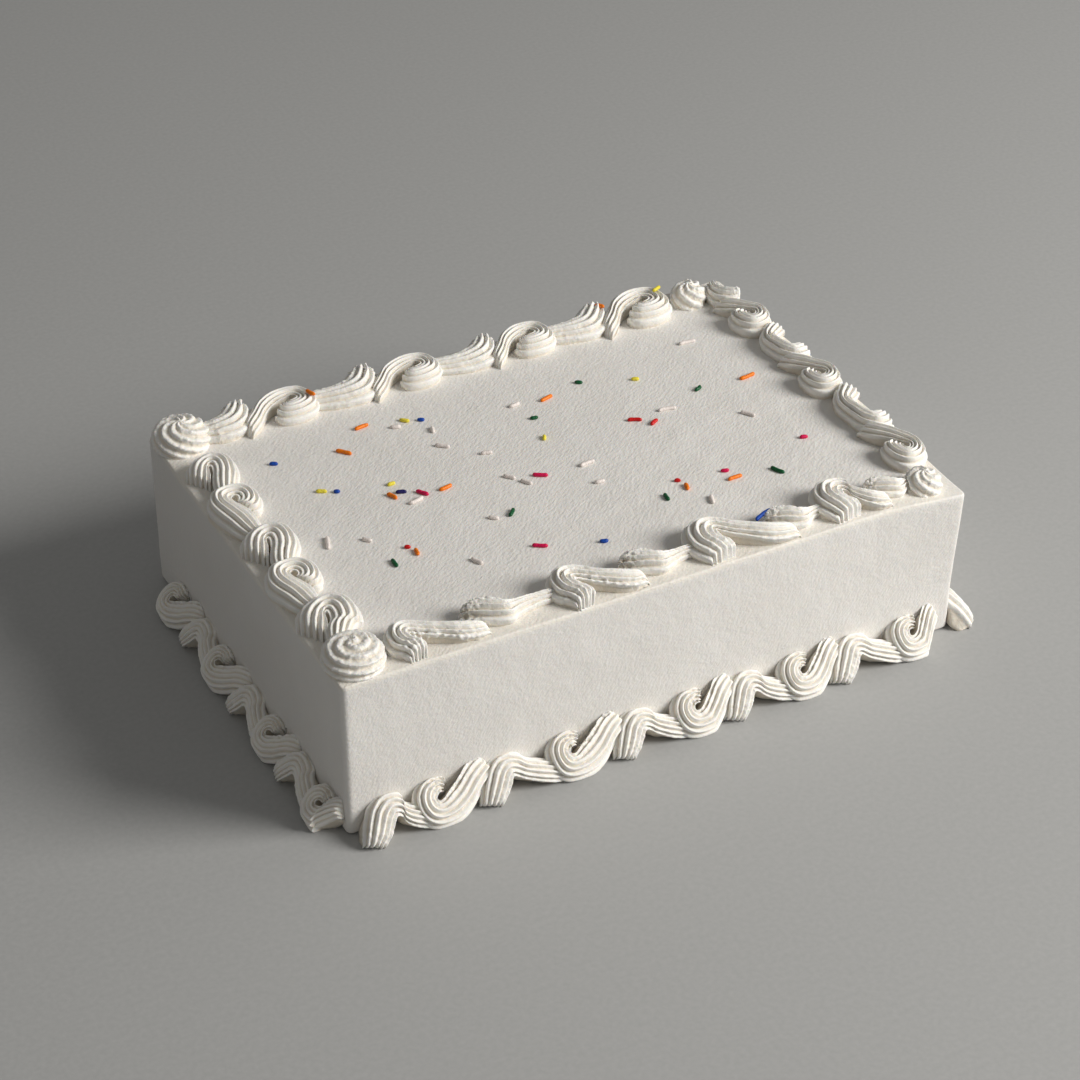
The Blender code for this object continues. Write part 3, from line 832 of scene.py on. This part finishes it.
# The front was piped last, with the icing drier, so its ridges are deeper and more torn
RIDGES = {
    "left": {"Groove": 0.19, "Tear": 1.0 * MM},
    "front": {"Groove": 0.25, "Tear": 2.2 * MM},
    "right": {"Groove": 0.21, "Tear": 1.4 * MM},
    "back": {"Groove": 0.22, "Tear": 1.6 * MM},
}
top_runs = {}
for side, (inset, *shared, scrolls) in TOP_RUNS.items():
    recipe = scroll_recipe("scrolls_on_top_" + side, False, kinds_in(scrolls))
    level = CAKE_HEIGHT - SINK
    points = scroll_points("top_" + side, side, level, inset * MM, *shared, scrolls)
    run = run_recipe("top_border_" + side, recipe, points, Material=piping_finish, **RIDGES[side])
    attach(run, "root")
    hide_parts("top_run_" + side)
    top_runs[side] = run

# %% Pipe the border at the foot
# For each side: places of the curls, whether the first one turns outwards, how far the last
# tail runs, and the size along, across and up
BOTTOM_RUNS = {
    "left": ([72, 43, 18, -12, -38, -64, -90], False, 12, (0.9, 0.85, 0.8)),
    "front": ([-137, -114, -82, -50, -17, 12, 39, 67, 95, 126], True, 18, (0.95, 0.96, 0.9)),
    "right": ([-98, -70, -43, -14, 16, 44, 73, 98], True, 12, (0.9, 0.83, 0.8)),
    "back": ([138, 112, 82, 53, 24, -8, -37, -66, -96, -125], True, 18, (0.95, 0.96, 0.9)),
}
# The kind of a scroll, its share of the size and how torn it is
OUTWARD_CURL = ("arch", 1.0, 0.4)
INWARD_CURL = ("climb", 1.0, 0.8)
foot_recipe = scroll_recipe("scrolls_at_the_foot", True, ["arch", "climb"])
for side, (curls, first, last, size) in BOTTOM_RUNS.items():
    in_turn = [OUTWARD_CURL, INWARD_CURL] if first else [INWARD_CURL, OUTWARD_CURL]
    scrolls = [(curl, *in_turn[number % 2]) for number, curl in enumerate(curls)]
    points = scroll_points("foot_" + side, side, 0.0, 0.0, first, last, size, scrolls)
    more = {"Backing": COVE_DEPTH / MM}
    run = run_recipe("foot_border_" + side, foot_recipe, points, Material=piping_finish, **more)
    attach(run, "root")
    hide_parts("bottom_run_" + side)

# %% [markdown]
# ## The rosettes at the corners
# Each side of the top border ends in a rosette: the nozzle stays in one place and goes round,
# so the ridges wind round the mound and up to a small torn peak. A grid is bent to a mound,
# and its ridges are lines of one phase that climbs as it goes round.

# %% The recipe for rosettes
# Share of the radius and of the height, from the foot up to the peak
MOUND_WIDTH = [(0.0, 0.94), (0.15, 1.0), (0.35, 0.96), (0.6, 0.72), (0.85, 0.28), (1.0, 0.0)]
MOUND_HEIGHT = [(0.0, 0.0), (0.15, 0.22), (0.35, 0.52), (0.6, 0.82), (0.85, 0.96), (1.0, 1.0)]
ROWS_ROUND, ROWS_UP = 121, 70


def rosette_recipe():
    sizes = {"Groove": 0.10, "Grain": 0.16 * MM, "Tear": 1.0 * MM}
    bench, given = start_recipe("rosettes", sizes)
    shape = set_on_points(bench, given, grid_of_icing(bench, ROWS_ROUND, ROWS_UP))
    round_it, rise = fact(bench, "along"), fact(bench, "across")
    radius, height = fact(bench, "radius"), fact(bench, "height")
    wide = bench.add("ShaderNodeFloatCurve", {"points": MOUND_WIDTH}, {"Value": rise})
    high = bench.add("ShaderNodeFloatCurve", {"points": MOUND_HEIGHT}, {"Value": rise})
    phase = rise * fact(bench, "rows") + round_it * fact(bench, "strands")
    crest = (0.5 - 0.5 * (phase * (2 * math.pi)).cosine()) ** 1.3
    depth = given["Groove"] * (1.0 - crest) * rise.ramp(0.0, 0.1) * (1.0 - rise.ramp(0.85, 1.0))
    turn = round_it * (2 * math.pi) + fact(bench, "heading")
    wide = wide * (1.0 - depth)
    high = high * (1.0 - depth * 0.8)
    spoke = bench.vector(turn.cosine(), turn.sine(), 0.0)
    place = fact(bench, "middle", "FLOAT_VECTOR") + spoke * (wide * radius)
    place = place + bench.vector(0.0, 0.0, high * height)
    shape = remember(bench, shape, "crest", crest)
    return end_piping(bench, given, shape, settle(bench, place))


# %% Pipe the rosettes
# Place (x, y), radius and height in millimetres, rows of ridges up the mound, and strands that
# climb in one turn. The name is that of the run that the rosette ends.
ROSETTES = {
    "left": (-140.5, -91.5, 13.5, 12.0, 5, 2),
    "front": (138.0, -95.5, 8.5, 10.0, 3, 6),
    "right": (128.5, 92.5, 9.0, 11.5, 3, 6),
    "back": (-141.0, 92.0, 13.5, 13.0, 4, 7),
}
# Where the ridges start, in radians, and how torn the icing is
ROSETTE_HEADING = 0.6
ROSETTE_TORN = 0.6
mounds = rosette_recipe()
for side, (x, y, radius, height, rows, strands) in ROSETTES.items():
    facts = {
        "middle": [Vector((x * MM, y * MM, CAKE_HEIGHT - SINK))],
        "radius": [radius * MM],
        "height": [height * MM],
        "rows": [float(rows)],
        "strands": [float(strands)],
        "heading": [ROSETTE_HEADING],
        "torn": [ROSETTE_TORN],
    }
    point = points_mesh("rosette", 1, facts)
    rosette = run_recipe("rosette_" + side, mounds, point, Material=piping_finish)
    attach(rosette, "root")
    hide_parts("top_run_" + side)

# %% [markdown]
# ## The sprinkles
# Sugar sprinkles are short rods of coloured sugar, cut from long strands, with rounded ends
# and a slight bend. They fell at random, so each one has its own place, heading and length.
# A rod of few faces is set on a point for each, one recipe run for every colour.

# %% Where the sprinkles fell: x, y, heading in degrees and length, in millimetres
SPRINKLES = {
    "orange": [
        (-63, 65, 8, 7.5), (-79, 50, -50, 8), (-75, 8, -69, 6), (-51, 3, 12, 7),
        (24, 47, 16, 7.5), (-84, -35, -100, 5), (117, 19, 8, 9), (67, -51, 1, 7.5),
        (44, -47, -105, 5), (-77.5, 88.5, -70, 6), (79, 94, -53, 5),
    ],
    "white": [
        (-49, 58, -19, 5), (-35, 48, -108, 5), (-37, 34, -42, 7), (-22, 19, -17, 5.5),
        (-67, 0, 15, 8), (8, 49, 9, 6), (-22, -3, -49, 6), (-17, -10, -58, 6),
        (-43, -28, -42, 5), (-115, -11, -110, 9), (-99, -17, -51, 5), (-64, -53, -65, 6.5),
        (108, 59, -5, 9), (69, 12, -10, 9), (100, -9, -57, 7.5), (14, -10, 7, 8),
        (12, -25, -9, 5), (49, -61, -114, 6.5),
    ],
    "yellow": [
        (-43, 61, -43, 5), (-101, 26, -32, 5), (-71, 17, 1, 4), (7, 18, -118, 4),
        (69, 42, -28, 4), (110.5, 93.5, 24, 6),
    ],
    "blue": [
        (-36, 58, -28, 3.5), (-111, 56, -28, 4), (-95, 23, -28, 3), (-9, -66, -21, 4),
        (59, -87, 21, 11),
    ],
    "navy": [(-70, 9, -21, 5)],
    "magenta": [
        (-62, 4, -56, 6.5), (-9, -8, -32, 7), (-35, -56, -32, 7), (112, -38, -16, 4),
        (66, -44, -21, 4),
    ],
    "green": [
        (11, 35, -14, 4), (-34, -28, 46, 6), (-96, -38, -92, 6), (44, 52, -36, 4),
        (91, 21, 27, 5), (87, -55, -66, 7.5), (32, -50, -98, 5.5),
    ],
    "red": [(-86, -30, -28, 3), (51, 11, -28, 7), (58, 5, 28, 5.5), (43, -41, -28, 3)],
}
SPRINKLE_RADIUS = 0.95 * MM
SPRINKLE_UNEVEN = 0.35 * MM
SPRINKLE_SINK = 0.25 * MM
SUGAR_RELIEF = 0.0002
# How far from its end a sprinkle touches what it lies on, in millimetres
SPRINKLE_END = 2.5
SPRINKLE_COLOURS = {
    "orange": (0.86, 0.20, 0.004),
    "white": (0.80, 0.73, 0.69),
    "yellow": (0.80, 0.68, 0.06),
    "blue": (0.006, 0.06, 0.36),
    "navy": (0.013, 0.011, 0.10),
    "magenta": (0.65, 0.005, 0.08),
    "green": (0.004, 0.09, 0.028),
    "red": (0.58, 0.009, 0.009),
}


def make_sugar(name, colour):
    """Sugar with a thin shine, a little paler in worn patches."""
    material, bench, place = start_finish("sugar_" + name)
    worn = clouds(bench, place, 900.0, 3.0)
    deep = (*colour, 1)
    pale = (*[c * 0.85 + 0.006 for c in colour], 1)
    shown = bench.mix(worn.ramp(0.45, 0.8), deep, pale)
    relief = bump(bench, clouds(bench, place, 1600.0, 2.0), SUGAR_RELIEF)
    roughness = 0.25 + 0.25 * worn
    end_finish(bench, Base_Color=shown, Roughness=roughness, Normal=relief, Specular_IOR_Level=0.3)
    return material


# %% The recipe for sprinkles
def sprinkle_recipe():
    sizes = {"Radius": SPRINKLE_RADIUS, "Bend": 0.35 * MM}
    bench, given = start_recipe("sprinkles", sizes)
    counts = {"Vertices": 12, "Side Segments": 30, "Fill Segments": 1}
    rod = bench.add("GeometryNodeMeshCylinder", {}, {"Radius": 1.0, "Depth": 2.0, **counts})
    x, y, z = bench.add("GeometryNodeInputPosition", {}, {}).parts()
    rod = remember(bench, rod, "end", z)
    rod = remember(bench, rod, "side_x", x)
    rod = remember(bench, rod, "side_y", y)
    shape = set_on_points(bench, given, rod)
    end, radius = fact(bench, "end"), given["Radius"]
    half = fact(bench, "length") * 0.5
    cap = (radius * 1.5 / half).least(0.95)
    into_cap = ((end.size() - (1.0 - cap)) / cap).most(0.0)
    thin = (1.0 - into_cap * into_cap).most(0.002).root()
    curve = fact(bench, "bend") * given["Bend"] * (1.0 - end * end)
    forward = fact(bench, "forward", "FLOAT_VECTOR")
    outward = fact(bench, "outward", "FLOAT_VECTOR")
    sideways = fact(bench, "side_x") * radius * thin + curve
    upwards = fact(bench, "side_y") * radius * thin
    place = fact(bench, "middle", "FLOAT_VECTOR") + forward * (end * half) + outward * sideways
    place = place + bench.vector(0.0, 0.0, upwards)
    shape = bench.add("GeometryNodeSetPosition", {}, {"Geometry": shape, "Position": place})
    here = bench.add("GeometryNodeInputPosition", {}, {})
    outwards = bench.add("GeometryNodeInputNormal", {}, {})
    uneven = (clouds(bench, here, 420.0, 1.0) - 0.5) * SPRINKLE_UNEVEN
    shape = bench.add("GeometryNodeSetPosition", {}, {"Geometry": shape, "Offset": outwards * uneven})
    return end_recipe(bench, given, shape)


def resting_height(x, y, heading, length):
    """Height of the highest icing under a sprinkle, on the block or on a border."""
    turn = math.radians(heading)
    spread = max(0.0, length / 2 - SPRINKLE_END)
    highest = 0.0
    for ahead in (-spread, 0.0, spread):
        place = Vector((x + ahead * math.cos(turn), y + ahead * math.sin(turn), 0))
        above = place * MM + Vector((0, 0, 2 * CAKE_HEIGHT))
        for piece in [block, *top_runs.values()]:
            hit, point, *_ = piece.ray_cast(above, Vector((0, 0, -1)))
            if hit:
                highest = max(highest, point.z)
    return highest


# %% Scatter the sprinkles
rods = sprinkle_recipe()
lift = SPRINKLE_RADIUS - SPRINKLE_SINK
for colour, places in SPRINKLES.items():
    draw = random.Random(colour)
    headings = [math.radians(heading) for _, _, heading, _ in places]
    lengths = [length for *_, length in places]
    heights = [resting_height(*place) + lift for place in places]
    facts = {
        "middle": [Vector((x * MM, y * MM, z)) for (x, y, *_), z in zip(places, heights)],
        "forward": [Vector((math.cos(turn), math.sin(turn), 0)) for turn in headings],
        "outward": [Vector((-math.sin(turn), math.cos(turn), 0)) for turn in headings],
        "length": [length * MM for length in lengths],
        "bend": [draw.uniform(-1, 1) * length / 6 for length in lengths],
    }
    sugar = make_sugar(colour, SPRINKLE_COLOURS[colour])
    points = points_mesh(colour, len(places), facts)
    rod_piece = run_recipe("sprinkles_" + colour, rods, points, Material=sugar)
    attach(rod_piece, "root")

# %% [markdown]
# ## Floor, light and camera
# The cake stands on a plain pale floor. A large soft lamp from the front right gives the
# modelling on the piping, and a weak even sky keeps the left side readable. The camera looks
# down on the cake with a long lens.

# %% The floor
def make_floor():
    material, bench, place = start_finish("floor")
    speck = clouds(bench, place, 400.0, 3.0)
    colour = bench.mix(speck, (0.36, 0.365, 0.36, 1), (0.44, 0.44, 0.435, 1))
    end_finish(bench, Base_Color=colour, Roughness=0.7)
    mesh = bpy.data.meshes.new("floor")
    corners = [(-6, -6, 0), (6, -6, 0), (6, 6, 0), (-6, 6, 0)]
    mesh.from_pydata(corners, [], [(0, 1, 2, 3)])
    mesh.materials.append(material)
    floor = bpy.data.objects.new("floor", mesh)
    bpy.context.collection.objects.link(floor)


make_floor()

# %% The light
CAKE_MIDDLE = Vector((0, 0, 0.04))


def add_lamp(name, place, size, power, colour):
    lamp = bpy.data.lights.new(name, "AREA")
    lamp.shape = "DISK"
    lamp.size = size
    lamp.energy = power
    lamp.color = colour
    holder = bpy.data.objects.new(name, lamp)
    holder.location = place
    aim = CAKE_MIDDLE - Vector(place)
    holder.rotation_euler = aim.to_track_quat("-Z", "Y").to_euler()
    bpy.context.collection.objects.link(holder)


add_lamp("key", (1.55, -1.22, 1.22), 1.15, 60, (1.0, 0.975, 0.94))
sky = bpy.data.worlds.new("sky")
sky.use_nodes = True
sky_bench = Bench(sky.node_tree)
even_light = {"Color": (1.0, 0.99, 0.965, 1), "Strength": 0.21}
sky_light = sky_bench.add("ShaderNodeBackground", {}, even_light)
sky_bench.add("ShaderNodeOutputWorld", {}, {"Surface": sky_light})
bpy.context.scene.world = sky
bpy.context.scene.view_settings.view_transform = "Standard"
print("lamps:", len(bpy.data.lights))

# %% The camera
CAMERA_PLACE = Vector((-0.48118519, -0.8776101, 0.7486514))
CAMERA_TURN = math.radians(-28.5006)
CAMERA_TILT = math.radians(35.4704)
CAMERA_ROLL = math.radians(0.1902)

back = Vector((
    math.sin(CAMERA_TURN) * math.cos(CAMERA_TILT),
    -math.cos(CAMERA_TURN) * math.cos(CAMERA_TILT),
    math.sin(CAMERA_TILT),
))
right = Vector((math.cos(CAMERA_TURN), math.sin(CAMERA_TURN), 0))
up = back.cross(right)
turned = Matrix((right, up, back)).transposed() @ Matrix.Rotation(CAMERA_ROLL, 3, "Z")
camera_data = bpy.data.cameras.new("camera")
camera_data.lens = 88.766
camera_data.sensor_width = 36
camera = bpy.data.objects.new("camera", camera_data)
camera.matrix_world = Matrix.Translation(CAMERA_PLACE) @ turned.to_4x4()
bpy.context.collection.objects.link(camera)
bpy.context.scene.camera = camera
print("the camera's lens:", camera_data.lens, "mm")
